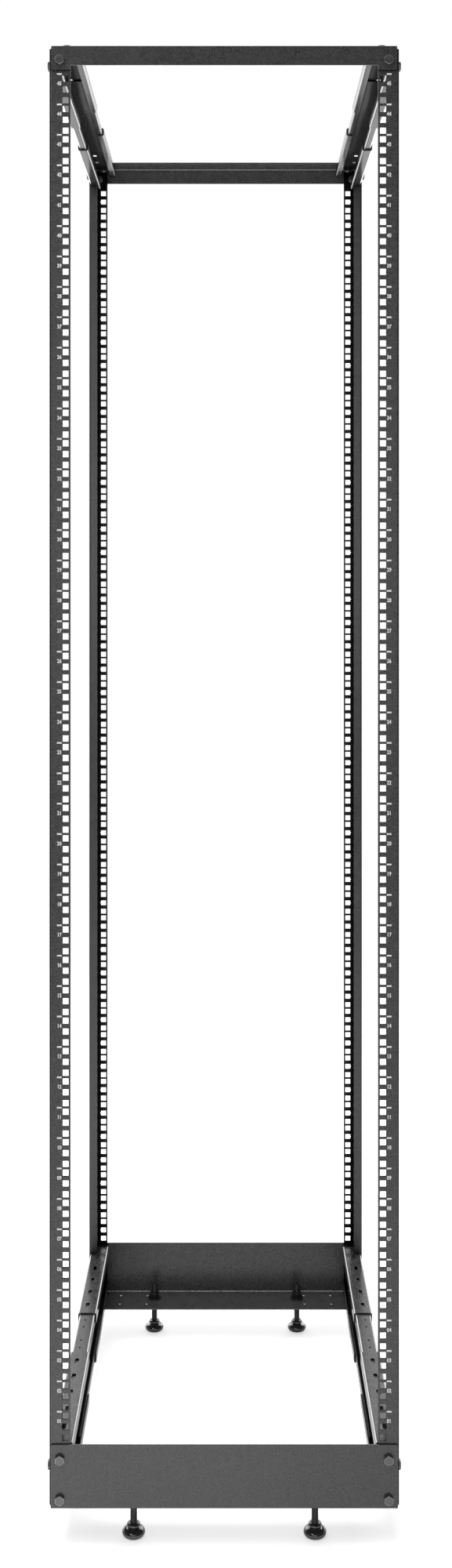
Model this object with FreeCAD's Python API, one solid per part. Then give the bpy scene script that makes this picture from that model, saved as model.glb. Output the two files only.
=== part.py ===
import FreeCAD
import Part
import math
import os

# A four post open frame rack for 19 inch equipment, with telescoping side rails and levelling feet.
# The frame is +Z up and +Y to the back. Its origin is on the floor, under the middle of the rack.
# One corner of each kind of piece is built on the right at the front, and the others mirror it.

Vector = FreeCAD.Vector

# Standard equipment unit and its holes
UNITS = 45
UNIT_HEIGHT = 44.45
HOLE_HEIGHTS = (6.35, 22.225, 38.1)
HOLE_SPAN = 465.1
HOLE_SIZE = 9.5
NOTCH_DEPTH = 1.5
NOTCH_HEIGHT = 3.8
HOLE_EDGE = 7.55
FIRST_UNIT = 154.0

# Sheet metal
SHEET = 2.0
BEND = 1.0
CORNER = 3.0

# Posts
DEPTH = 710.0
POST_FACE = 31.0
POST_SIDE = 45.0
POST_LIP = 15.0
POST_FOOT_RISE = 4.7
POST_TOP_GAP = 2.5
LIP_CLEARANCE = 1.5

# Top beams
BEAM_RISE = 41.35
BEAM_INSET = 3.0
BEAM_WEB = 28.6
BEAM_TAB = 35.6
BEAM_FLANGE = 48.0

# Base plates
BASE_HEIGHT = 94.0
BASE_GAP = 3.0
BASE_INSET = 2.0
BASE_FLANGE = 75.0

# Lower side rails, C sections that open towards the middle of the rack
LOWER_WIDTH = 31.5
LOWER_HEIGHT = 86.4
LOWER_LIP = 18.0
LOWER_GAP = 5.6

# Upper side rails, with a broad top, an outer wall, an upturned foot and a hooked inner nose
UPPER_WIDTH = 44.5
UPPER_HEIGHT = 39.3
UPPER_FOOT = 17.0
UPPER_FOOT_LIP = 10.7
UPPER_NOSE = 13.6
UPPER_NOSE_LIP = 10.0

# Lengths of the rails and of the sliders nested inside them
RAIL_LENGTH = 275.0
SLIDER_LENGTH = 410.0
SLIDE_GAP = 0.5

# Adjustment slots along the rails and the marking holes of the sliders
SLOT_LENGTH = 17.0
SLOT_WIDTH = 6.8
SLOT_PITCH = 50.0
SLOT_FIRST = 45.0
SLOT_LAST = 25.0
SLOT_EDGE = 14.0
SLIDER_HOLE = 4.0
SLIDER_HOLE_SPOTS = (24.0, 49.0)

# Hexagon bolts and nuts
BOLT = 8.0
BOLT_HOLE = 9.0
BOLT_FLATS = 13.0
BOLT_HEAD = 5.3
BOLT_END = 1.0
NUT_HEIGHT = 6.5
NUT_ROOM = 1.5
THREAD_GAP = 0.05
BASE_BOLT_LOW = 14.5
BASE_BOLT_HIGH = 73.0
SIDE_BOLT_EDGE = 20.0
TOP_BOLT_EDGE = 9.0

# Levelling feet
FOOT_SPAN = 268.5
FOOT_INSET = 30.0
STEM = 10.0
STEM_HOLE = 11.0
STEM_SEAT = 8.0
STEM_TOP = 15.0
PAD = 34.0
PAD_SOLE = 22.0
PAD_WAIST = 6.5
PAD_SHOULDER = 13.0
PAD_NECK = 16.0
PAD_COLLAR = 20.0
PAD_COLLAR_LOW = 14.5
PAD_HEIGHT = 20.0
FOOT_NUT_FLATS = 17.0
FOOT_NUT_HEIGHT = 10.0
FOOT_WASHER = 24.0
FOOT_WASHER_HEIGHT = 2.0

# Holes for a caster plate in the flanges of the base plates
CASTER_HOLE = 5.5
CASTER_SPACING_X = 50.0
CASTER_SPACING_Y = 35.0
CASTER_X = 173.0
CASTER_INSET = 34.5

# Places that follow from the sizes above
POST_INNER = HOLE_SPAN / 2 - HOLE_EDGE
POST_OUTER = POST_INNER + POST_FACE
FACE_Y = -DEPTH / 2
BEAM_END = POST_OUTER - BEAM_INSET
BASE_END = POST_OUTER - BASE_INSET
LAST_UNIT = FIRST_UNIT + UNITS * UNIT_HEIGHT
BEAM_TOP = LAST_UNIT + BEAM_RISE
BASE_TOP = FIRST_UNIT - BASE_GAP
BASE_BOTTOM = BASE_TOP - BASE_HEIGHT
POST_TOP = BEAM_TOP - SHEET - POST_TOP_GAP
POST_BOTTOM = BASE_BOTTOM + POST_FOOT_RISE
RAIL_OUTER = POST_OUTER - SHEET
RAIL_SETBACK = SHEET + NUT_HEIGHT + NUT_ROOM
RAIL_START = FACE_Y + RAIL_SETBACK
LOWER_TOP = FIRST_UNIT - LOWER_GAP
LOWER_BOTTOM = LOWER_TOP - LOWER_HEIGHT
UPPER_TOP = BEAM_TOP - SHEET
UPPER_BOTTOM = UPPER_TOP - UPPER_HEIGHT
SLOT_X = RAIL_OUTER - SLOT_EDGE
SLOT_COUNT = int((RAIL_LENGTH - SLOT_FIRST - SLOT_LAST) // SLOT_PITCH) + 1
NEST = SHEET + SLIDE_GAP
FACE_BOLT_X = (POST_INNER + POST_OUTER) / 2
TOP_BOLT_X = RAIL_OUTER - UPPER_WIDTH / 2
LOWER_BOLT_Z = (LOWER_TOP + LOWER_BOTTOM) / 2
UPPER_BOLT_Z = (UPPER_TOP + UPPER_BOTTOM) / 2
SIDE_BOLT_Y = RAIL_START + SIDE_BOLT_EDGE
TOP_BOLT_Y = RAIL_START + TOP_BOLT_EDGE
FOOT_X = FOOT_SPAN / 2
FOOT_Y = FACE_Y + FOOT_INSET
FLANGE_TOP = BASE_BOTTOM + SHEET
CASTER_Y = FACE_Y + CASTER_INSET

TINY = 0.01
FORWARD = Vector(0, -1, 0)
RIGHT = Vector(1, 0, 0)
UP = Vector(0, 0, 1)


# Folded sheet metal

def on_floor(u, v):
    """A section drawn flat, for a piece that runs upwards."""
    return Vector(u, v, 0)


def across_depth(u, v):
    """A section drawn upright across the rack, for a piece that runs from front to back."""
    return Vector(u, 0, v)


def across_width(u, v):
    """A section drawn upright along the rack's depth, for a piece that runs from side to side."""
    return Vector(0, u, v)


def heading(start, end):
    """Direction of one leg of a section."""
    length = math.hypot(end[0] - start[0], end[1] - start[1])
    return Vector((end[0] - start[0]) / length, (end[1] - start[1]) / length, 0)


def skin_edges(points, offset, spot):
    """Edges of one skin of a sheet with right-angle folds, offset to the left of its middle line."""
    radius = BEND + SHEET / 2
    corners = [Vector(u, v, 0) for u, v in points]
    legs = [heading(a, b) for a, b in zip(points, points[1:])]
    lefts = [Vector(-leg.y, leg.x, 0) for leg in legs]
    edges = []
    here = corners[0] + lefts[0] * offset
    for i in range(1, len(legs)):
        before = legs[i - 1]
        after = legs[i]
        turn = before.x * after.y - before.y * after.x
        centre = corners[i] + (after - before) * radius
        start = corners[i] - before * radius + lefts[i - 1] * offset
        middle = centre + (before - after) * ((radius - turn * offset) / math.sqrt(2))
        end = corners[i] + after * radius + lefts[i] * offset
        edges.append(Part.LineSegment(spot(here.x, here.y), spot(start.x, start.y)).toShape())
        arc = Part.Arc(spot(start.x, start.y), spot(middle.x, middle.y), spot(end.x, end.y))
        edges.append(arc.toShape())
        here = end
    last = corners[-1] + lefts[-1] * offset
    edges.append(Part.LineSegment(spot(here.x, here.y), spot(last.x, last.y)).toShape())
    return edges


def folded(points, spot, run):
    """A folded sheet whose middle line goes through points, drawn by spot and extruded by run."""
    left = skin_edges(points, SHEET / 2, spot)
    right = skin_edges(points, -SHEET / 2, spot)
    first_cap = Part.makeLine(left[0].Vertexes[0].Point, right[0].Vertexes[0].Point)
    last_cap = Part.makeLine(left[-1].Vertexes[-1].Point, right[-1].Vertexes[-1].Point)
    outline = Part.Wire(Part.sortEdges(left + right + [first_cap, last_cap])[0])
    return Part.Face(outline).extrude(run)


def prism(points, run):
    """A closed outline of points in space, extruded by run."""
    return Part.Face(Part.makePolygon(points + points[:1])).extrude(run)


def block(low, high):
    """A box between two opposite corners."""
    size = Vector(*high) - Vector(*low)
    return Part.makeBox(size.x, size.y, size.z, Vector(*low))


def drill(width, point, axis):
    """A cutter for a round hole through the sheets next to point."""
    reach = 3 * SHEET
    return Part.makeCylinder(width / 2, 2 * reach, point - axis * reach, axis)


def cut(shape, cutters):
    """The one solid left when cutters are taken out of shape."""
    return shape.cut(cutters).Solids[0]


def rounded(shape, axis, second, corners):
    """Rounds a plate's corners. Their short edges run through the sheet along axis, and corners gives their
    distance from the middle of the rack and their second coordinate."""
    chosen = []
    for edge in shape.Edges:
        start = edge.Vertexes[0].Point
        end = edge.Vertexes[-1].Point
        through = abs((end - start).dot(axis))
        if abs(through - SHEET) > TINY or abs(edge.Length - SHEET) > TINY:
            continue
        place = (abs(start.x), getattr(start, second))
        if any(math.dist(place, corner) < TINY for corner in corners):
            chosen.append(edge)
    return shape.makeFillet(CORNER, chosen)


def mirrored_x(shape):
    return shape.mirror(Vector(0, 0, 0), RIGHT)


def mirrored_y(shape):
    return shape.mirror(Vector(0, 0, 0), FORWARD)


# Bolt places, all on the right at the front

def beam_bolt():
    return Vector(FACE_BOLT_X, FACE_Y - SHEET, UPPER_BOLT_Z)


def base_bolts():
    heights = (BASE_BOTTOM + BASE_BOLT_LOW, BASE_BOTTOM + BASE_BOLT_HIGH)
    return [Vector(FACE_BOLT_X, FACE_Y - SHEET, z) for z in heights]


def side_bolts():
    return [Vector(POST_OUTER, SIDE_BOLT_Y, z) for z in (LOWER_BOLT_Z, UPPER_BOLT_Z)]


def top_bolt():
    return Vector(TOP_BOLT_X, TOP_BOLT_Y, BEAM_TOP)


# Posts

def square_hole(height, notched):
    """A cutter for one square hole, with a pointed notch on its outer side in the middle of each unit."""
    half = HOLE_SIZE / 2
    x = HOLE_SPAN / 2
    y = FACE_Y - SHEET
    outline = [(x - half, height - half), (x + half, height - half)]
    if notched:
        outline += [
            (x + half, height - NOTCH_HEIGHT / 2),
            (x + half + NOTCH_DEPTH, height),
            (x + half, height + NOTCH_HEIGHT / 2),
        ]
    outline += [(x + half, height + half), (x - half, height + half)]
    return prism([Vector(u, y, v) for u, v in outline], Vector(0, 3 * SHEET, 0))


def post():
    """The right front post, whose return lip is cut away where the side rails pass."""
    half = SHEET / 2
    back = FACE_Y + POST_SIDE - half
    section = [
        (POST_INNER, FACE_Y + half),
        (POST_OUTER - half, FACE_Y + half),
        (POST_OUTER - half, back),
        (POST_OUTER - POST_LIP, back),
    ]
    shape = folded(section, on_floor, Vector(0, 0, POST_TOP - POST_BOTTOM))
    shape.translate(Vector(0, 0, POST_BOTTOM))
    lip_front = FACE_Y + POST_SIDE - SHEET - BEND
    lip_back = FACE_Y + POST_SIDE + SHEET
    rail_zones = (
        (POST_BOTTOM - SHEET, LOWER_TOP + LIP_CLEARANCE),
        (UPPER_BOTTOM - LIP_CLEARANCE, POST_TOP + SHEET),
    )
    cutters = []
    for low, high in rail_zones:
        cutters.append(block((POST_INNER, lip_front, low), (POST_OUTER + SHEET, lip_back, high)))
    for unit in range(UNITS):
        for spot, height in enumerate(HOLE_HEIGHTS):
            z = FIRST_UNIT + unit * UNIT_HEIGHT + height
            cutters.append(square_hole(z, spot == 1))
    for point in base_bolts() + [beam_bolt()]:
        cutters.append(drill(BOLT_HOLE, point, FORWARD))
    for point in side_bolts():
        cutters.append(drill(BOLT_HOLE, point, RIGHT))
    return cut(shape, cutters)


# Cross members

def top_beam():
    """The front top beam, an angle whose web has a deeper tab over each post."""
    half = SHEET / 2
    section = [
        (FACE_Y - half, BEAM_TOP - BEAM_TAB),
        (FACE_Y - half, BEAM_TOP - half),
        (FACE_Y - SHEET + BEAM_FLANGE, BEAM_TOP - half),
    ]
    shape = folded(section, across_width, Vector(2 * BEAM_END, 0, 0))
    shape.translate(Vector(-BEAM_END, 0, 0))
    between = block(
        (-POST_INNER, FACE_Y - 2 * SHEET, BEAM_TOP - BEAM_TAB - SHEET),
        (POST_INNER, FACE_Y + SHEET, BEAM_TOP - BEAM_WEB),
    )
    cutters = [between]
    for point, axis in ((beam_bolt(), FORWARD), (top_bolt(), UP)):
        hole = drill(BOLT_HOLE, point, axis)
        cutters += [hole, mirrored_x(hole)]
    shape = cut(shape, cutters)
    tab_bottom = BEAM_TOP - BEAM_TAB
    shape = rounded(shape, FORWARD, "z", [(BEAM_END, tab_bottom), (POST_INNER, tab_bottom)])
    return rounded(shape, UP, "y", [(BEAM_END, FACE_Y - SHEET + BEAM_FLANGE)])


def base_plate():
    """The front base plate, an angle that carries the levelling feet on its flange."""
    half = SHEET / 2
    section = [
        (FACE_Y - half, BASE_TOP),
        (FACE_Y - half, BASE_BOTTOM + half),
        (FACE_Y - SHEET + BASE_FLANGE, BASE_BOTTOM + half),
    ]
    shape = folded(section, across_width, Vector(2 * BASE_END, 0, 0))
    shape.translate(Vector(-BASE_END, 0, 0))
    holes = [drill(BOLT_HOLE, point, FORWARD) for point in base_bolts()]
    holes.append(drill(STEM_HOLE, Vector(FOOT_X, FOOT_Y, BASE_BOTTOM), UP))
    for across in (-1, 1):
        for along in (-1, 1):
            x = CASTER_X + across * CASTER_SPACING_X / 2
            y = CASTER_Y + along * CASTER_SPACING_Y / 2
            holes.append(drill(CASTER_HOLE, Vector(x, y, BASE_BOTTOM), UP))
    shape = cut(shape, holes + [mirrored_x(hole) for hole in holes])
    shape = rounded(shape, FORWARD, "z", [(BASE_END, BASE_TOP)])
    return rounded(shape, UP, "y", [(BASE_END, FACE_Y - SHEET + BASE_FLANGE)])


# Side rails and sliders

def lower_section(nest):
    """Middle line of the lower rail, or of the slider that sits nest inside its outer skin."""
    inset = nest + SHEET / 2
    inner = RAIL_OUTER - LOWER_WIDTH + inset
    outer = RAIL_OUTER - inset
    top = LOWER_TOP - inset
    bottom = LOWER_BOTTOM + inset
    return [
        (inner, LOWER_TOP - nest - LOWER_LIP),
        (inner, top),
        (outer, top),
        (outer, bottom),
        (inner, bottom),
        (inner, LOWER_BOTTOM + nest + LOWER_LIP),
    ]


def upper_section(nest):
    """Middle line of the upper rail, or of the slider that sits nest inside its outer skin."""
    inset = nest + SHEET / 2
    nose = RAIL_OUTER - UPPER_WIDTH + inset
    outer = RAIL_OUTER - inset
    foot = RAIL_OUTER - UPPER_FOOT + inset
    top = UPPER_TOP - inset
    bottom = UPPER_BOTTOM + inset
    hook = UPPER_TOP - UPPER_NOSE + inset
    return [
        (RAIL_OUTER - UPPER_WIDTH + UPPER_NOSE_LIP, hook),
        (nose, hook),
        (nose, top),
        (outer, top),
        (outer, bottom),
        (foot, bottom),
        (foot, UPPER_BOTTOM + UPPER_FOOT_LIP),
    ]


def slot(y, top):
    """A cutter for an adjustment slot in the top of a rail."""
    reach = (SLOT_LENGTH - SLOT_WIDTH) / 2
    half = SLOT_WIDTH / 2
    middle = block((SLOT_X - half, y - reach, top - 2 * SHEET), (SLOT_X + half, y + reach, top + SHEET))
    ends = [drill(SLOT_WIDTH, Vector(SLOT_X, y + side * reach, top), UP) for side in (-1, 1)]
    return [middle] + ends


def rail(section, top, bolts):
    """A front rail with its slots and the holes of the bolts that hold it."""
    shape = folded(section(0), across_depth, Vector(0, RAIL_LENGTH, 0))
    shape.translate(Vector(0, RAIL_START, 0))
    cutters = []
    for step in range(SLOT_COUNT):
        cutters += slot(RAIL_START + SLOT_FIRST + step * SLOT_PITCH, top)
    cutters += [drill(BOLT_HOLE, point, axis) for point, axis in bolts]
    return cut(shape, cutters)


def slider(section, top):
    """A slider, centred in the rack's depth, with a pair of marking holes each side of its middle."""
    shape = folded(section(NEST), across_depth, Vector(0, SLIDER_LENGTH, 0))
    shape.translate(Vector(0, -SLIDER_LENGTH / 2, 0))
    spots = [side * spot for side in (-1, 1) for spot in SLIDER_HOLE_SPOTS]
    return cut(shape, [drill(SLIDER_HOLE, Vector(SLOT_X, y, top - NEST), UP) for y in spots])


# Fasteners

def hexagon(flats, height):
    """A hexagonal prism that stands on the origin, with corners on its Y axis."""
    radius = flats / math.sqrt(3)
    angles = [math.radians(30 + 60 * i) for i in range(6)]
    return prism([Vector(radius * math.cos(a), radius * math.sin(a), 0) for a in angles], UP * height)


def placed(shape, point, outwards):
    """Turns a piece made along +Z to face outwards, and moves it to point."""
    result = shape.copy()
    result.Placement = FreeCAD.Placement(point, FreeCAD.Rotation(UP, outwards))
    return result


def bolt(point, outwards):
    """A hexagon bolt through two sheets, with its head outside."""
    length = 2 * SHEET + NUT_HEIGHT + BOLT_END
    shank = Part.makeCylinder(BOLT / 2, length, UP * -length, UP)
    return placed(hexagon(BOLT_FLATS, BOLT_HEAD).fuse(shank).removeSplitter(), point, outwards)


def nut(point, outwards):
    """The nut of such a bolt, against the inner sheet."""
    top = -2 * SHEET
    body = hexagon(BOLT_FLATS, NUT_HEIGHT)
    body.translate(UP * (top - NUT_HEIGHT))
    bore = Part.makeCylinder(BOLT / 2 + THREAD_GAP, 3 * NUT_HEIGHT, UP * (top - 2 * NUT_HEIGHT), UP)
    return placed(body.cut(bore), point, outwards)


def bolt_places():
    places = [(point, FORWARD) for point in base_bolts() + [beam_bolt()]]
    places += [(point, RIGHT) for point in side_bolts()]
    places.append((top_bolt(), UP))
    return places


def fasteners(make):
    """One kind of fastener at each bolt place of the front frame, on both sides."""
    pieces = [make(point, outwards) for point, outwards in bolt_places()]
    return Part.Compound(pieces + [mirrored_x(piece) for piece in pieces])


# Levelling feet

def foot_pad():
    """A turned foot pad: a round bulb, a neck and the collar that holds the stem."""
    sole = Vector(PAD_SOLE / 2, 0, 0)
    waist = Vector(PAD / 2, 0, PAD_WAIST)
    neck = Vector(PAD_NECK / 2, 0, PAD_SHOULDER)
    collar_low = Vector(PAD_COLLAR / 2, 0, PAD_COLLAR_LOW)
    collar_side = Vector(PAD_COLLAR / 2, 0, (PAD_COLLAR_LOW + PAD_HEIGHT) / 2)
    mouth = Vector(STEM / 2 + THREAD_GAP, 0, PAD_HEIGHT)
    seat = Vector(STEM / 2 + THREAD_GAP, 0, STEM_SEAT)
    turn = math.sqrt(0.5)
    overhang = waist - sole
    shoulder_run = waist - neck
    lower_bulge = sole + Vector(overhang.x * turn, 0, overhang.z * (1 - turn))
    upper_bulge = neck + Vector(shoulder_run.x * turn, 0, shoulder_run.z * (1 - turn))
    crown = (collar_side + mouth) / 2 + Vector(1, 0, 1)
    edges = [
        Part.makeLine(Vector(0, 0, 0), sole),
        Part.Arc(sole, lower_bulge, waist).toShape(),
        Part.Arc(waist, upper_bulge, neck).toShape(),
        Part.makeLine(neck, collar_low),
        Part.makeLine(collar_low, collar_side),
        Part.Arc(collar_side, crown, mouth).toShape(),
        Part.makeLine(mouth, seat),
        Part.makeLine(seat, Vector(0, 0, STEM_SEAT)),
        Part.makeLine(Vector(0, 0, STEM_SEAT), Vector(0, 0, 0)),
    ]
    shape = Part.Face(Part.Wire(edges)).revolve(Vector(0, 0, 0), UP, 360)
    return Part.Solid(shape.Shells[0])


def foot_stem():
    """The threaded stem, from its seat in the pad to above the nut."""
    top = FLANGE_TOP + FOOT_WASHER_HEIGHT + FOOT_NUT_HEIGHT + STEM_TOP
    return Part.makeCylinder(STEM / 2, top - STEM_SEAT, UP * STEM_SEAT, UP)


def foot_nut():
    """The nut that stands on the base flange and carries the rack on the stem."""
    washer = Part.makeCylinder(FOOT_WASHER / 2, FOOT_WASHER_HEIGHT, UP * FLANGE_TOP, UP)
    body = hexagon(FOOT_NUT_FLATS, FOOT_NUT_HEIGHT)
    body.translate(UP * (FLANGE_TOP + FOOT_WASHER_HEIGHT))
    bore = Part.makeCylinder(STEM / 2 + THREAD_GAP, 2 * FLANGE_TOP, UP * SHEET, UP)
    return washer.fuse(body).removeSplitter().cut(bore)


# Writing the pieces

def save(shape, name):
    solids = shape.Solids
    whole = solids[0] if len(solids) == 1 else Part.Compound(solids)
    whole.exportStep(f"parts/{name}.step")


def save_front_and_rear(shape, name):
    save(shape, f"front_{name}")
    save(mirrored_y(shape), f"rear_{name}")


def save_corners(shape, name):
    save_front_and_rear(shape, f"right_{name}")
    save_front_and_rear(mirrored_x(shape), f"left_{name}")


def save_sides(shape, name):
    save(shape, f"right_{name}")
    save(mirrored_x(shape), f"left_{name}")


def main():
    os.makedirs("parts", exist_ok=True)
    save_corners(post(), "post")
    save_front_and_rear(top_beam(), "top_beam")
    save_front_and_rear(base_plate(), "base_plate")
    lower_side, upper_side = side_bolts()
    save_corners(rail(lower_section, LOWER_TOP, [(lower_side, RIGHT)]), "lower_rail")
    save_corners(rail(upper_section, UPPER_TOP, [(upper_side, RIGHT), (top_bolt(), UP)]), "upper_rail")
    save_sides(slider(lower_section, LOWER_TOP), "lower_slider")
    save_sides(slider(upper_section, UPPER_TOP), "upper_slider")
    save_front_and_rear(fasteners(bolt), "bolts")
    save_front_and_rear(fasteners(nut), "nuts")
    foot_at = Vector(FOOT_X, FOOT_Y, 0)
    for make, name in ((foot_pad, "foot_pad"), (foot_stem, "foot_stem"), (foot_nut, "foot_nut")):
        save_corners(make().translated(foot_at), name)


main()
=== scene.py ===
import math

import bmesh
import bpy
from mathutils import Matrix, Vector


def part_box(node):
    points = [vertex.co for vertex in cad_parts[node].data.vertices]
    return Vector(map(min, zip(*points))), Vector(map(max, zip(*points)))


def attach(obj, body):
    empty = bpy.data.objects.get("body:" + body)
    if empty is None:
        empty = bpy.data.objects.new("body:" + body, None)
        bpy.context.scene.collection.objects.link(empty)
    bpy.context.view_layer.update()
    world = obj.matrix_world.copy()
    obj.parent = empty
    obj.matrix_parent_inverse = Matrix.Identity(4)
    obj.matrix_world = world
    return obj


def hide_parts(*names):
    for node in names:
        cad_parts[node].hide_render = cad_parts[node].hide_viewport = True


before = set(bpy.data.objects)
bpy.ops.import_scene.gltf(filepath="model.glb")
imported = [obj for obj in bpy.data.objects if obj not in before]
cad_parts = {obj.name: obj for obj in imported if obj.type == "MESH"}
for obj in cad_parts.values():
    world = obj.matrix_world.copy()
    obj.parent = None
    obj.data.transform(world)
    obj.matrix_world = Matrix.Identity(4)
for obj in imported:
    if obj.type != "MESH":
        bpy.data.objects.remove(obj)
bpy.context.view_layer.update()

# The photograph in pixels, the sensor in millimetres and the camera's place in metres
IMAGE_HEIGHT = 2000
FOCAL_PIXELS = 2051
HORIZON_ROW = 735
AXIS_COLUMN = 294
IMAGE_CENTRE = (288.5, 1000)
SENSOR = 36.0
CAMERA_X = 0.0089
CAMERA_HEIGHT = 1.420
CAMERA_DISTANCE = 2.351

ENDS = ("front", "rear")
SIDES = ("left", "right")

# Equipment units and their printed marks
UNITS = 45
UNIT_HEIGHT = 0.04445
FIRST_UNIT = 0.154
MARK_X = 0.2413
MARK_DROP = 0.0137
DIGITS_WIDTH = 0.0065
DIGITS_HEIGHT = 0.0060
DIGITS_BOLD = 0.035
TICK_WIDTH = 0.0070
TICK_HEIGHT = 0.0024
INK_HEIGHT = 0.00006
INK_THICKNESS = 0.000054

# Hexagon fasteners
SHEET = 0.002
BOLT_FLATS = 0.013
BOLT_HEAD = 0.0053
BOLT_RADIUS = 0.004
BOLT_PITCH = 0.00125
BOLT_END = 0.001
NUT_HEIGHT = 0.0065
BEARING_FACE = 0.00035
BEARING_SHARE = 0.95
BORE_CHAMFER = 0.0004
HEX_LAND = 0.94
HEX_CHAMFER = 30
HEX_STEPS = 72
HEAD_DISH = ((0.86, 0.00008), (0.30, 0.00012))
WELD = 1e-5

# Threads. The depth is a share of the pitch, the crest flattens the ridges, the root is how much of
# them there is where they start, and the tip is the slope of the chamfer at the end
THREAD_START = 0.0002
THREAD_PLAY = 0.00005
THREAD_DEPTH = 0.54
THREAD_CREST = 1.4
THREAD_ROOT = 0.3
THREAD_TIP = 0.8
THREAD_STEPS = 24
THREAD_ROWS = 6

# Levelling feet
STEM_RADIUS = 0.005
STEM_PITCH = 0.0015
STEM_SEAT = 0.002
PAD_STEPS = 72
FOOT_NUT_FLATS = 0.017
WASHER_RADIUS = 0.012
WASHER_HEIGHT = 0.002
WASHER_SOFTNESS = 0.0002
WASHER_STEPS = 64

# Where a colour mix node keeps its factor, its two colours and its result
MIX_INPUTS = (0, 6, 7)
MIX_OUTPUT = 2

# Paint: the middle range of a noise texture, and the masks with the tones under them. The fold tone is a
# painted highlight, and the recess black is painted shade.
NOISE_MIDDLE = (0.25, 0.75)
MASK_SAMPLES = 6
EDGE_START = 0.995
FOLD_RANGE = (0.25, 0.45)
FOLD_HIGHLIGHT = 0.8
RECESS_REACH = 0.06
RECESS_FADE = 0.3
RECESS_SHADE = 0.002

# Studio brightness in front and behind, and the Y of a direction where one goes over to the other
WORLD_FRONT = 0.08
WORLD_BACK = 0.6
WORLD_TURN = (-0.2, 0.7)
WHITE_TURN = (0.45, 0.85)

# Softboxes, in watts, and the Y of the three that stand behind the camera
OVERHEAD = 190
KEY = 12
CAMERA_LEFT = 6.3
CAMERA_RIGHT = 4.0
STRIP = 3.0
RIM = 26
LAMP_Y = -3.4

# The floor, and the strip of it in front of the rack that the gloss of the lowest sheets shows
FLOOR_REACH = 14.0
FLOOR_FADE = (1.3, 3.5)
FLOOR_BACK = (0.0, 1.0)
FLOOR_LIFT = 0.55
STRIP_NEAR = (0.7, 1.6)
STRIP_FRONT = (-0.45, -0.25)
STRIP_SIDE = (-0.05, 0.30)
STRIP_LEVELS = (0.95, 0.25)


# Materials

def new_material(name, color, roughness, metallic=0.0, specular=0.5, coat=0.0, coat_roughness=0.1):
    """A material, its node tree and its shader, with the values that are the same all over."""
    material = bpy.data.materials.new(name)
    material.use_nodes = True
    shader = material.node_tree.nodes["Principled BSDF"]
    shader.inputs["Base Color"].default_value = (*color, 1)
    shader.inputs["Roughness"].default_value = roughness
    shader.inputs["Metallic"].default_value = metallic
    shader.inputs["Specular IOR Level"].default_value = specular
    shader.inputs["Coat Weight"].default_value = coat
    shader.inputs["Coat Roughness"].default_value = coat_roughness
    return material, material.node_tree, shader


def noise(tree, scale, detail=2.0, roughness=0.5):
    """A noise texture in object space, with scale in features a metre."""
    where = tree.nodes.get("Object place")
    if where is None:
        where = tree.nodes.new("ShaderNodeTexCoord")
        where.name = "Object place"
    texture = tree.nodes.new("ShaderNodeTexNoise")
    texture.inputs["Scale"].default_value = scale
    texture.inputs["Detail"].default_value = detail
    texture.inputs["Roughness"].default_value = roughness
    tree.links.new(where.outputs["Object"], texture.inputs["Vector"])
    return texture.outputs["Fac"]


def mapped(tree, value, source, target=(0.0, 1.0), smooth=False):
    """Maps one range of a socket onto another, and holds it at the ends."""
    ranged = tree.nodes.new("ShaderNodeMapRange")
    if smooth:
        ranged.interpolation_type = "SMOOTHSTEP"
    for name, number in zip(("From Min", "From Max", "To Min", "To Max"), (*source, *target)):
        ranged.inputs[name].default_value = number
    tree.links.new(value, ranged.inputs["Value"])
    return ranged.outputs["Result"]


def spread(tree, texture, low, high):
    """Maps a noise texture's middle range onto low to high."""
    return mapped(tree, texture, NOISE_MIDDLE, (low, high))


def fill(tree, socket, value):
    """Gives an input a number, a plain colour or another node's output."""
    if isinstance(value, bpy.types.NodeSocket):
        tree.links.new(value, socket)
    elif isinstance(value, tuple):
        socket.default_value = (*value, 1)
    else:
        socket.default_value = value


def mixed(tree, kind, factor, first, second):
    """Mixes two colours. Each may be a plain colour or a socket."""
    mix = tree.nodes.new("ShaderNodeMix")
    mix.data_type = "RGBA"
    mix.blend_type = kind
    for index, value in zip(MIX_INPUTS, (factor, first, second)):
        fill(tree, mix.inputs[index], value)
    return mix.outputs[MIX_OUTPUT]


def math_node(tree, operation, first, second=0.0):
    """A math node's result, kept between 0 and 1. Each input may be a number or a socket."""
    node = tree.nodes.new("ShaderNodeMath")
    node.operation = operation
    node.use_clamp = True
    fill(tree, node.inputs[0], first)
    fill(tree, node.inputs[1], second)
    return node.outputs[0]


def bump(tree, height, strength, distance, normal=None):
    """The normal of a surface raised by a texture, distance in metres, over another where one is given."""
    raised = tree.nodes.new("ShaderNodeBump")
    raised.inputs["Strength"].default_value = strength
    raised.inputs["Distance"].default_value = distance
    tree.links.new(height, raised.inputs["Height"])
    if normal is not None:
        tree.links.new(normal, raised.inputs["Normal"])
    return raised.outputs["Normal"]


def edge_mask(tree, radius, full):
    """The normal rounded along sharp edges, and a mask that is 1 there and 0 on flat faces."""
    bevel = tree.nodes.new("ShaderNodeBevel")
    bevel.samples = MASK_SAMPLES
    bevel.inputs["Radius"].default_value = radius
    shape = tree.nodes.new("ShaderNodeNewGeometry")
    lean = tree.nodes.new("ShaderNodeVectorMath")
    lean.operation = "DOT_PRODUCT"
    tree.links.new(bevel.outputs["Normal"], lean.inputs[0])
    tree.links.new(shape.outputs["Normal"], lean.inputs[1])
    return bevel.outputs["Normal"], mapped(tree, lean.outputs["Value"], (EDGE_START, full))


def recess_mask(tree, openness):
    """1 deep inside folds and channels, and 0 on faces more open than openness."""
    shade = tree.nodes.new("ShaderNodeAmbientOcclusion")
    shade.samples = MASK_SAMPLES
    shade.inputs["Distance"].default_value = RECESS_REACH
    return mapped(tree, shade.outputs["AO"], (openness, openness - RECESS_FADE))


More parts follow.
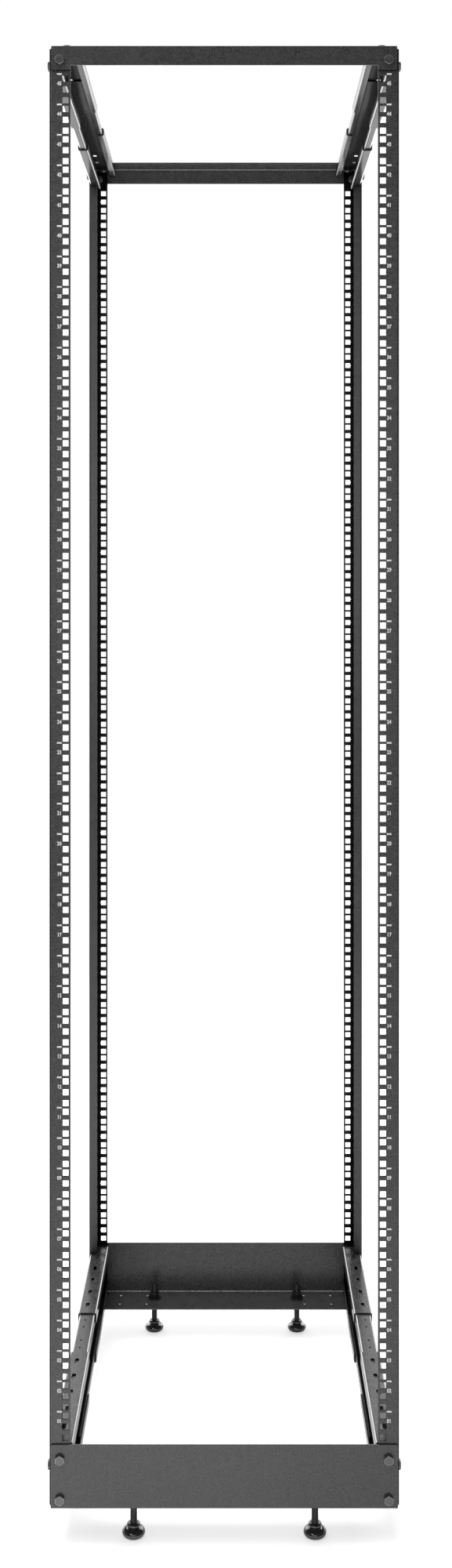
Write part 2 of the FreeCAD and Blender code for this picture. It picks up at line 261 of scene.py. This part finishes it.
def fold_mask(tree, across):
    """1 where the sheet folds from one of two axes to the other, such as YZ, and 0 on flat faces."""
    shape = tree.nodes.new("ShaderNodeNewGeometry")
    split = tree.nodes.new("ShaderNodeSeparateXYZ")
    tree.links.new(shape.outputs["Normal"], split.inputs["Vector"])
    first, second = [math_node(tree, "ABSOLUTE", split.outputs[axis]) for axis in across]
    return mapped(tree, math_node(tree, "MULTIPLY", first, second), FOLD_RANGE, smooth=True)


def powder_coat(name, black=0.032, worn_and_highlight=0.12, roughness=0.28, recess_shade=0.0, openness=0.92, grit=0.75,
                edge=0.1, fold_highlight=0.0, across="YZ", outline_shade=0.0):
    """Black fine-texture powder coat: grain, a mottled tone, edges lightened by wear and a painted
    highlight, a painted highlight on folds, and painted shade in recesses.

    The recess shade, grit, edge, fold highlight and outline shade strengths say how strong each of these
    is, from 0 to 1. An outline is painted shade: a dark line along cut edges and upright folds. Where shade
    is painted the paint also turns to a black, rough metal, so that it shows hardly any reflection there.
    """
    material, tree, shader = new_material(name, (black,) * 3, roughness, specular=0.8)
    clouds = noise(tree, scale=55, detail=4.0, roughness=0.6)
    mottle = noise(tree, scale=900, detail=4.0, roughness=0.75)
    grain = noise(tree, scale=1900, detail=2.0, roughness=0.6)
    rounded, edges = edge_mask(tree, radius=0.0005, full=0.80)
    folds = fold_mask(tree, across)
    tone = mixed(tree, "MIX", spread(tree, mottle, -1.0, 2.0), (0.0,) * 3, (black * 2.4,) * 3)
    patches = mixed(tree, "MIX", spread(tree, clouds, 0.0, 1.0), (0.8,) * 3, (1.2,) * 3)
    tone = mixed(tree, "MULTIPLY", 1.0, tone, patches)
    # Edges go over to a lighter tone: partly worn paint, partly a painted highlight.
    tone = mixed(tree, "MIX", math_node(tree, "MULTIPLY", edges, edge), tone, (worn_and_highlight,) * 3)
    # Folds go over to a pale tone: a painted highlight along the bends.
    tone = mixed(tree, "MIX", math_node(tree, "MULTIPLY", folds, fold_highlight), tone, (FOLD_HIGHLIGHT,) * 3)
    # Recesses go black: painted shade, both in the colour and in a black, rough metal that shows no
    # reflection.
    painted_shade = math_node(tree, "MULTIPLY", recess_mask(tree, openness), recess_shade)
    # The outline is painted shade: a dark line along cut edges and upright folds.
    if outline_shade:
        rims = math_node(tree, "MAXIMUM", edges, fold_mask(tree, "XY"))
        painted_shade = math_node(tree, "MAXIMUM", painted_shade, math_node(tree, "MULTIPLY", rims, outline_shade))
    tone = mixed(tree, "MIX", painted_shade, tone, (RECESS_SHADE,) * 3)
    sheen = spread(tree, clouds, roughness - 0.04, roughness + 0.05)
    tree.links.new(tone, shader.inputs["Base Color"])
    tree.links.new(painted_shade, shader.inputs["Metallic"])
    tree.links.new(math_node(tree, "MAXIMUM", sheen, painted_shade), shader.inputs["Roughness"])
    peel = bump(tree, mottle, strength=grit, distance=0.0002, normal=rounded)
    tree.links.new(bump(tree, grain, strength=grit, distance=0.00006, normal=peel), shader.inputs["Normal"])
    return material


def zinc_black(name, color, roughness):
    """Black zinc plate on turned and pressed steel, with fine tool marks and a painted highlight on the
    edges.
    """
    material, tree, shader = new_material(name, color, roughness, metallic=0.8)
    marks = noise(tree, scale=2600, detail=2.0, roughness=0.6)
    clouds = noise(tree, scale=260, detail=3.0, roughness=0.6)
    rounded, edges = edge_mask(tree, radius=0.0006, full=0.96)
    light, edge_highlight = [tuple(part * times for part in color) for times in (1.5, 6.0)]
    tone = mixed(tree, "MIX", spread(tree, clouds, 0.0, 1.0), color, light)
    # The edges go over to a much brighter tone: a painted highlight.
    tone = mixed(tree, "MIX", edges, tone, edge_highlight)
    tree.links.new(tone, shader.inputs["Base Color"])
    tree.links.new(spread(tree, clouds, roughness - 0.06, roughness + 0.08), shader.inputs["Roughness"])
    raised = bump(tree, marks, strength=0.15, distance=0.00004, normal=rounded)
    tree.links.new(raised, shader.inputs["Normal"])
    return material


def gloss_black(name):
    """Glossy moulded plastic of the foot pads, with slight waviness and a dusty variation in its gloss."""
    black = (0.012, 0.012, 0.013)
    material, tree, shader = new_material(name, black, 0.16, specular=1.0, coat=1.0, coat_roughness=0.05)
    waves = noise(tree, scale=160, detail=2.0, roughness=0.4)
    dust = noise(tree, scale=900, detail=3.0, roughness=0.6)
    tone = mixed(tree, "MIX", spread(tree, dust, 0.0, 0.6), black, (0.03, 0.03, 0.031))
    tree.links.new(tone, shader.inputs["Base Color"])
    tree.links.new(spread(tree, dust, 0.10, 0.24), shader.inputs["Roughness"])
    tree.links.new(bump(tree, waves, strength=0.08, distance=0.0002), shader.inputs["Normal"])
    return material


def white_ink(name):
    """Screen printed ink, a little uneven over the paint's grain."""
    material, tree, shader = new_material(name, (0.96, 0.96, 0.96), 0.55, specular=0.4)
    patches = noise(tree, scale=1500, detail=3.0, roughness=0.6)
    tone = mixed(tree, "MIX", spread(tree, patches, 0.0, 1.0), (0.93, 0.93, 0.94), (0.99, 0.99, 0.99))
    tree.links.new(tone, shader.inputs["Base Color"])
    tree.links.new(bump(tree, patches, strength=0.2, distance=0.00005), shader.inputs["Normal"])
    return material


# Mesh building

def finish_mesh(name, bm, material, body, smooth_angle=35):
    """Makes a piece of a bmesh, smooths its round faces, and hands it to a body."""
    bmesh.ops.recalc_face_normals(bm, faces=bm.faces)
    mesh = bpy.data.meshes.new(name)
    bm.to_mesh(mesh)
    bm.free()
    mesh.materials.append(material)
    mesh.polygons.foreach_set("use_smooth", [True] * len(mesh.polygons))
    mesh.set_sharp_from_angle(angle=math.radians(smooth_angle))
    piece = bpy.data.objects.new(name, mesh)
    bpy.context.scene.collection.objects.link(piece)
    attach(piece, body)
    return piece


def add_rings(bm, rings, place, loop=False):
    """Joins rings of points into a rod with closed ends, or into a loop whose last ring meets its first."""
    rows = [[bm.verts.new(place @ Vector(point)) for point in points] for points in rings]
    following = rows[1:] + rows[:1] if loop else rows[1:]
    for low, high in zip(rows, following):
        for i in range(len(low)):
            j = (i + 1) % len(low)
            bm.faces.new((low[i], low[j], high[j], high[i]))
    if not loop:
        bm.faces.new(list(reversed(rows[0])))
        bm.faces.new(rows[-1])


def ring(radius_at, z_at, steps):
    """One ring round the local Z axis. The radius and the height are numbers or functions of the angle."""
    points = []
    for i in range(steps):
        angle = math.tau * i / steps
        radius = radius_at(angle) if callable(radius_at) else radius_at
        z = z_at(angle, radius) if callable(z_at) else z_at
        points.append((radius * math.cos(angle), radius * math.sin(angle), z))
    return points


def hex_radius(flats):
    """Distance from the axis to a hexagon's side, with corners on the local Y axis."""
    sector = math.pi / 3

    def radius(angle):
        return flats / 2 / math.cos((angle + sector / 2) % sector - sector / 2)
    return radius


def add_hexagon(bm, place, flats, low, high, bore=0.0, chamfer_low=False):
    """A hexagon with a turned chamfer on top, a bore if it is a nut, and a chamfer below if asked."""
    sides = hex_radius(flats)
    land = flats / 2 * HEX_LAND
    slope = math.tan(math.radians(HEX_CHAMFER))

    def bottom_edge(angle, radius):
        return low + (max(0.0, radius - land) * slope if chamfer_low else 0.0)

    def top_edge(angle, radius):
        return high - max(0.0, radius - land) * slope

    rings = [
        ring(land, low, HEX_STEPS),
        ring(sides, bottom_edge, HEX_STEPS),
        ring(sides, top_edge, HEX_STEPS),
        ring(land, high, HEX_STEPS),
    ]
    if bore:
        mouth = bore + BORE_CHAMFER
        rings = [ring(bore, low + BORE_CHAMFER, HEX_STEPS), ring(mouth, low, HEX_STEPS)] + rings
        rings += [ring(mouth, high, HEX_STEPS), ring(bore, high - BORE_CHAMFER, HEX_STEPS)]
    else:
        rings += [ring(land * share, high - depth, HEX_STEPS) for share, depth in HEAD_DISH]
    add_rings(bm, rings, place, loop=bool(bore))


def add_thread(bm, place, radius, pitch, low, high):
    """A threaded rod from low to high, with a chamfer at its upper end."""
    depth = pitch * THREAD_DEPTH
    rows = max(2, int(round((high - low) / pitch * THREAD_ROWS)))
    rings = []
    for row in range(rows + 1):
        z = low + (high - low) * row / rows
        fade = min(1.0, (high - z) / pitch, (z - low) / pitch + THREAD_ROOT)
        tip = max(0.0, pitch - (high - z)) * THREAD_TIP

        def radius_at(angle, z=z, fade=fade, tip=tip):
            phase = ((z / pitch) - angle / math.tau) % 1.0
            ridge = min(1.0, THREAD_CREST * (1.0 - abs(2 * phase - 1)))
            return radius - depth * (1 - ridge) * max(0.0, fade) - tip
        rings.append(ring(radius_at, z, THREAD_STEPS))
    add_rings(bm, rings, place)


def add_washer(bm, place, inner, outer, low, high):
    """A flat washer with softened rims."""
    soft = min(WASHER_SOFTNESS, (high - low) * 0.3)
    section = [
        (inner, low + soft), (inner, high - soft), (inner + soft, high), (outer - soft, high),
        (outer, high - soft), (outer, low + soft), (outer - soft, low), (inner + soft, low),
    ]
    add_rings(bm, [ring(radius, z, WASHER_STEPS) for radius, z in section], place, loop=True)


def facing(point, outwards):
    """Puts a piece made along +Z at point, facing outwards."""
    turn = Vector((0, 0, 1)).rotation_difference(outwards)
    return Matrix.Translation(point) @ turn.to_matrix().to_4x4()


# Fasteners

def loose_boxes(name):
    """The lowest and highest corner of each loose piece of a node."""
    bm = bmesh.new()
    bm.from_mesh(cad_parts[name].data)
    bmesh.ops.remove_doubles(bm, verts=bm.verts, dist=WELD)
    seen = set()
    boxes = []
    for start in bm.verts:
        if start in seen:
            continue
        stack = [start]
        seen.add(start)
        low = start.co.copy()
        high = start.co.copy()
        while stack:
            here = stack.pop()
            for axis in range(3):
                low[axis] = min(low[axis], here.co[axis])
                high[axis] = max(high[axis], here.co[axis])
            for edge in here.link_edges:
                other = edge.other_vert(here)
                if other not in seen:
                    seen.add(other)
                    stack.append(other)
        boxes.append((low, high))
    bm.free()
    return boxes


def bolt_places(end):
    """Where each bolt bears on the sheet and which way its head points, read from the CAD bolts."""
    places = []
    for low, high in loose_boxes(f"{end}_bolts"):
        middle = (low + high) / 2
        size = high - low
        axis = max(range(3), key=lambda i: size[i])
        if axis == 2:
            outwards = Vector((0, 0, 1))
        elif axis == 1:
            outwards = Vector((0, -1 if end == "front" else 1, 0))
        else:
            outwards = Vector((1 if middle.x > 0 else -1, 0, 0))
        tip = middle + outwards * size[axis] / 2
        places.append((tip - outwards * BOLT_HEAD, outwards))
    return places


def build_bolts(end, material):
    """Every bolt of one end frame as one piece, and every nut as another, in place of the plain ones."""
    heads = bmesh.new()
    nuts = bmesh.new()
    length = 2 * SHEET + NUT_HEIGHT + BOLT_END
    nut_low = BOLT_END - length
    for seat, outwards in bolt_places(end):
        place = facing(seat, outwards)
        add_hexagon(heads, place, BOLT_FLATS, BEARING_FACE, BOLT_HEAD)
        add_washer(heads, place, BOLT_RADIUS, BOLT_FLATS / 2 * BEARING_SHARE, 0.0, BEARING_FACE)
        flip = place @ Matrix.Rotation(math.pi, 4, "X")
        add_thread(heads, flip, BOLT_RADIUS, BOLT_PITCH, THREAD_START, length)
        add_hexagon(nuts, place, BOLT_FLATS, nut_low, nut_low + NUT_HEIGHT,
                    bore=BOLT_RADIUS + THREAD_PLAY, chamfer_low=True)
    bolts = finish_mesh(f"{end}_hex_bolts", heads, material, f"{end}_frame", smooth_angle=25)
    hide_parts(f"{end}_bolts")
    seats = finish_mesh(f"{end}_hex_nuts", nuts, material, f"{end}_frame", smooth_angle=25)
    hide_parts(f"{end}_nuts")


# Levelling feet

def arc_points(centre, radii, start, end, steps):
    """Points of an elliptic arc in (radius, z), with angles in degrees from the outward direction."""
    points = []
    for i in range(steps + 1):
        angle = math.radians(start + (end - start) * i / steps)
        points.append((centre[0] + radii[0] * math.cos(angle), centre[1] + radii[1] * math.sin(angle)))
    return points


def pad_profile():
    """Sole, bulb, neck and collar of a foot pad, as (radius, z) from the middle of its sole to its top."""
    profile = [(0.0008, 0.0), (0.0095, 0.0), (0.0105, 0.0003)]
    profile += arc_points((0.0110, 0.0062), (0.0060, 0.0060), -80, 0, 8)
    profile += arc_points((0.0078, 0.0062), (0.0092, 0.0066), 8, 84, 12)
    profile += [(0.0080, 0.0132), (0.0080, 0.0140)]
    profile += arc_points((0.0078, 0.0168), (0.0022, 0.0025), -75, 75, 10)
    profile += [(0.0066, 0.0196), (0.0056, 0.0196), (0.0052, 0.0190), (0.0008, 0.0186)]
    return profile


def build_foot(end, side, plastic, metal):
    """A turned pad and a threaded stem that move together, and the lock nut and washer of the frame."""
    pad_low, pad_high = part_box(f"{end}_{side}_foot_pad")
    stem_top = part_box(f"{end}_{side}_foot_stem")[1][2]
    nut_low, nut_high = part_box(f"{end}_{side}_foot_nut")
    x = (pad_low[0] + pad_high[0]) / 2
    y = (pad_low[1] + pad_high[1]) / 2
    place = Matrix.Translation((x, y, 0))
    body = f"foot_{end}_{side}"

    pad = bmesh.new()
    add_rings(pad, [ring(radius, z, PAD_STEPS) for radius, z in pad_profile()], place)
    piece = finish_mesh(f"{end}_{side}_turned_pad", pad, plastic, body, smooth_angle=50)
    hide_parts(f"{end}_{side}_foot_pad")

    stem = bmesh.new()
    add_thread(stem, place, STEM_RADIUS, STEM_PITCH, pad_high[2] - STEM_SEAT, stem_top)
    piece = finish_mesh(f"{end}_{side}_threaded_stem", stem, metal, body)
    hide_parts(f"{end}_{side}_foot_stem")

    nut = bmesh.new()
    bore = STEM_RADIUS + THREAD_PLAY
    washer_top = nut_low[2] + WASHER_HEIGHT
    add_washer(nut, place, bore, WASHER_RADIUS, nut_low[2], washer_top)
    add_hexagon(nut, place, FOOT_NUT_FLATS, washer_top, nut_high[2], bore=bore)
    piece = finish_mesh(f"{end}_{side}_hex_foot_nut", nut, metal, f"{end}_frame")
    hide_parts(f"{end}_{side}_foot_nut")


# Printed marks

def digits_mesh(text):
    """A flat mesh of digits at the font's own size, centred on x."""
    curve = bpy.data.curves.new("digits", type="FONT")
    curve.body = text
    curve.align_x = "CENTER"
    curve.align_y = "CENTER"
    curve.offset = DIGITS_BOLD
    curve.resolution_u = 3
    holder = bpy.data.objects.new("digits", curve)
    bpy.context.scene.collection.objects.link(holder)
    bpy.context.view_layer.update()
    mesh = bpy.data.meshes.new_from_object(holder.evaluated_get(bpy.context.evaluated_depsgraph_get()))
    bpy.data.objects.remove(holder)
    return mesh


def add_print(bm, mesh, scale, middle_y, place):
    """Copies a flat mesh in x and y onto the face of the post, in x and z."""
    verts = []
    for vertex in mesh.vertices:
        point = Vector((vertex.co.x * scale[0], 0, (vertex.co.y - middle_y) * scale[1]))
        verts.append(bm.verts.new(place @ point))
    for polygon in mesh.polygons:
        bm.faces.new([verts[i] for i in polygon.vertices])


def build_marks(side, material):
    """Unit numbers 01 to 45 and the tick at each unit's upper boundary, on one front post."""
    ink_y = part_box(f"front_{side}_post")[0][1] - INK_HEIGHT
    x = MARK_X if side == "right" else -MARK_X
    widest = digits_mesh("00")
    xs = [vertex.co.x for vertex in widest.vertices]
    ys = [vertex.co.y for vertex in widest.vertices]
    scale = (DIGITS_WIDTH / (max(xs) - min(xs)), DIGITS_HEIGHT / (max(ys) - min(ys)))
    middle_y = (min(ys) + max(ys)) / 2
    bm = bmesh.new()
    for unit in range(1, UNITS + 1):
        top = FIRST_UNIT + unit * UNIT_HEIGHT
        place = Matrix.Translation((x, ink_y, top - MARK_DROP))
        add_print(bm, digits_mesh(f"{unit:02d}"), scale, middle_y, place)
        tick = []
        for u, v in ((-1, -1), (1, -1), (1, 1), (-1, 1)):
            tick.append(bm.verts.new((x + u * TICK_WIDTH / 2, ink_y, top + v * TICK_HEIGHT / 2)))
        bm.faces.new(tick)
    film = bmesh.ops.extrude_face_region(bm, geom=list(bm.faces))
    for item in film["geom"]:
        if isinstance(item, bmesh.types.BMVert):
            item.co.y += INK_THICKNESS
    finish_mesh(f"front_{side}_unit_marks", bm, material, "front_frame")


# Studio

def area_light(name, place, target, size, power, mirrored=True):
    """A rectangular softbox at place, turned to target. Where mirrored is false, gloss doesn't show it."""
    data = bpy.data.lights.new(name, "AREA")
    data.shape = "RECTANGLE"
    data.size = size[0]
    data.size_y = size[1]
    data.energy = power
    lamp = bpy.data.objects.new(name, data)
    bpy.context.scene.collection.objects.link(lamp)
    lamp.location = place
    lamp.rotation_euler = (Vector(target) - Vector(place)).to_track_quat("-Z", "Y").to_euler()
    lamp.visible_camera = False
    lamp.visible_glossy = mirrored


def ray_kinds(tree):
    """Two masks: 1 for rays from the camera, and 1 for rays that gloss or glass sends on."""
    path = tree.nodes.new("ShaderNodeLightPath")
    shiny = math_node(tree, "MAXIMUM", path.outputs["Is Glossy Ray"], path.outputs["Is Transmission Ray"])
    return path.outputs["Is Camera Ray"], shiny


def white_rays(tree, camera, shiny, behind):
    """1 for what the camera sees, and for what gloss and glass show of the background behind the rack."""
    return math_node(tree, "MAXIMUM", camera, math_node(tree, "MULTIPLY", shiny, behind))


def glow(tree, strength):
    """A white emission whose strength is a socket or a number."""
    emission = tree.nodes.new("ShaderNodeEmission")
    emission.inputs["Color"].default_value = (1, 1, 1, 1)
    fill(tree, emission.inputs["Strength"], strength)
    return emission.outputs[0]


def mixed_shader(tree, factor, first, second):
    """The first of two shaders where factor is 0, and the second where it is 1."""
    mix = tree.nodes.new("ShaderNodeMixShader")
    for socket, value in zip(mix.inputs, (factor, first, second)):
        tree.links.new(value, socket)
    return mix.outputs[0]


def build_world():
    """A studio that is dimmer in front and bright behind, with a plain white background."""
    world = bpy.data.worlds.new("studio")
    world.use_nodes = True
    tree = world.node_tree
    soft = tree.nodes["Background"]
    soft.inputs["Color"].default_value = (1, 1, 1, 1)
    place = tree.nodes.new("ShaderNodeTexCoord")
    split = tree.nodes.new("ShaderNodeSeparateXYZ")
    tree.links.new(place.outputs["Generated"], split.inputs["Vector"])
    level = mapped(tree, split.outputs["Y"], WORLD_TURN, (WORLD_FRONT, WORLD_BACK), smooth=True)
    tree.links.new(level, soft.inputs["Strength"])
    white = tree.nodes.new("ShaderNodeBackground")
    white.inputs["Color"].default_value = (1, 1, 1, 1)
    white.inputs["Strength"].default_value = 1.0
    camera, shiny = ray_kinds(tree)
    shown = white_rays(tree, camera, shiny, mapped(tree, split.outputs["Y"], WHITE_TURN, smooth=True))
    surface = mixed_shader(tree, shown, soft.outputs[0], white.outputs[0])
    tree.links.new(surface, tree.nodes["World Output"].inputs["Surface"])
    bpy.context.scene.world = world


def floor_material():
    """Pale grey that takes the rack's shadow, and goes over to the white background further out."""
    material, tree, shader = new_material("pale_floor", (0.93, 0.93, 0.93), 0.9, specular=0.1)
    mottle = noise(tree, scale=1.5)
    tone = mixed(tree, "MIX", spread(tree, mottle, 0.0, 1.0), (0.92, 0.92, 0.92), (0.95, 0.95, 0.95))
    tree.links.new(tone, shader.inputs["Base Color"])
    place = tree.nodes["Object place"].outputs["Object"]
    distance = tree.nodes.new("ShaderNodeVectorMath")
    distance.operation = "LENGTH"
    tree.links.new(place, distance.inputs[0])
    split = tree.nodes.new("ShaderNodeSeparateXYZ")
    tree.links.new(place, split.inputs["Vector"])
    camera, shiny = ray_kinds(tree)
    shown = white_rays(tree, camera, shiny, mapped(tree, split.outputs["Y"], FLOOR_BACK, smooth=True))
    far = mapped(tree, distance.outputs["Value"], FLOOR_FADE, smooth=True)
    near = mapped(tree, distance.outputs["Value"], STRIP_NEAR, (1.0, 0.0), smooth=True)
    front = mapped(tree, split.outputs["Y"], STRIP_FRONT, (1.0, 0.0), smooth=True)
    side = mapped(tree, split.outputs["X"], STRIP_SIDE, STRIP_LEVELS, smooth=True)
    strip = math_node(tree, "MULTIPLY", near, math_node(tree, "MULTIPLY", front, side))
    seen = math_node(tree, "MAXIMUM", camera, math_node(tree, "MULTIPLY", shiny, strip))
    both = tree.nodes.new("ShaderNodeAddShader")
    tree.links.new(shader.outputs[0], both.inputs[0])
    tree.links.new(glow(tree, math_node(tree, "MULTIPLY", seen, FLOOR_LIFT)), both.inputs[1])
    surface = mixed_shader(tree, math_node(tree, "MULTIPLY", far, shown), both.outputs[0], glow(tree, 1.0))
    tree.links.new(surface, tree.nodes["Material Output"].inputs["Surface"])
    return material


def build_floor():
    """A wide pale floor under the rack."""
    bm = bmesh.new()
    corners = [(-1, -1), (1, -1), (1, 1), (-1, 1)]
    bm.faces.new([bm.verts.new((u * FLOOR_REACH, v * FLOOR_REACH, 0)) for u, v in corners])
    mesh = bpy.data.meshes.new("floor")
    bm.to_mesh(mesh)
    bm.free()
    mesh.materials.append(floor_material())
    floor = bpy.data.objects.new("floor", mesh)
    bpy.context.scene.collection.objects.link(floor)


def build_lights():
    """Softboxes: overhead, high on the left, two wide and one narrow by the camera, two behind the rack."""
    area_light("overhead", (-0.8, -0.5, 5.0), (-0.4, -0.5, 0), (4.5, 3.0), OVERHEAD, mirrored=False)
    area_light("key", (-1.6, -2.6, 3.6), (0, -0.3, 1.0), (0.9, 0.9), KEY)
    area_light("camera_left", (-0.6, LAMP_Y, 1.95), (-0.6, 0, 1.95), (1.2, 1.9), CAMERA_LEFT)
    area_light("camera_right", (0.6, LAMP_Y, 1.95), (0.6, 0, 1.95), (1.2, 1.9), CAMERA_RIGHT)
    area_light("strip", (0, LAMP_Y, CAMERA_HEIGHT), (0, 0, CAMERA_HEIGHT), (1.3, 0.35), STRIP)
    for hand in (-1, 1):
        area_light(f"rim_{hand}", (hand * 1.5, 2.8, 1.9), (0, 0, 1.1), (1.8, 3.0), RIM)


def build_camera():
    """A level camera, shifted so that the horizon and the rack's axis fall as in the photograph."""
    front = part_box("front_left_post")[0][1]
    data = bpy.data.cameras.new("camera")
    data.sensor_fit = "AUTO"
    data.sensor_width = SENSOR
    data.lens = FOCAL_PIXELS / IMAGE_HEIGHT * SENSOR
    data.shift_x = (IMAGE_CENTRE[0] - AXIS_COLUMN) / IMAGE_HEIGHT
    data.shift_y = (HORIZON_ROW - IMAGE_CENTRE[1]) / IMAGE_HEIGHT
    camera = bpy.data.objects.new("camera", data)
    bpy.context.scene.collection.objects.link(camera)
    camera.location = (CAMERA_X, front - CAMERA_DISTANCE, CAMERA_HEIGHT)
    camera.rotation_euler = (math.radians(90), 0, 0)
    bpy.context.scene.camera = camera


def set_finish():
    """Gives every CAD node that stays its finished paint."""
    front_plate = powder_coat("plate_powder_coat", edge=0.08)
    # The rear paints are lighter than the front ones: painted light, making up for the dimmer light on the
    # rear frame.
    rear_plate = powder_coat("rear_plate_powder_coat", black=0.044, grit=0.15, edge=0.15, fold_highlight=0.9)
    front_post = powder_coat("post_powder_coat", recess_shade=0.9, edge=0.0, outline_shade=0.85)
    rear_post = powder_coat("rear_post_powder_coat", black=0.044, roughness=0.22, recess_shade=0.9, grit=0.5,
                            edge=0.0, outline_shade=0.85)
    rail = powder_coat("rail_powder_coat", black=0.042, worn_and_highlight=0.20, roughness=0.14, recess_shade=0.75,
                       openness=0.73, grit=0.25, edge=0.40, fold_highlight=0.9, across="XZ")
    for name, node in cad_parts.items():
        rear = name.startswith("rear")
        paint = rear_plate if rear else front_plate
        if "post" in name:
            paint = rear_post if rear else front_post
        elif "rail" in name or "slider" in name:
            paint = rail
        for slot in node.material_slots:
            slot.material = paint


def main():
    """Sets up the studio, paints the CAD nodes and adds the pieces that are finer than the CAD."""
    bpy.context.scene.view_settings.view_transform = "Standard"
    build_camera()
    build_world()
    build_floor()
    build_lights()
    set_finish()
    fastener = zinc_black("fastener_zinc", (0.11, 0.11, 0.113), 0.30)
    foot_metal = zinc_black("foot_zinc", (0.035, 0.035, 0.036), 0.35)
    foot_plastic = gloss_black("foot_gloss")
    ink = white_ink("unit_ink")
    for end in ENDS:
        build_bolts(end, fastener)
        for side in SIDES:
            build_foot(end, side, foot_plastic, foot_metal)
    for side in SIDES:
        build_marks(side, ink)


main()
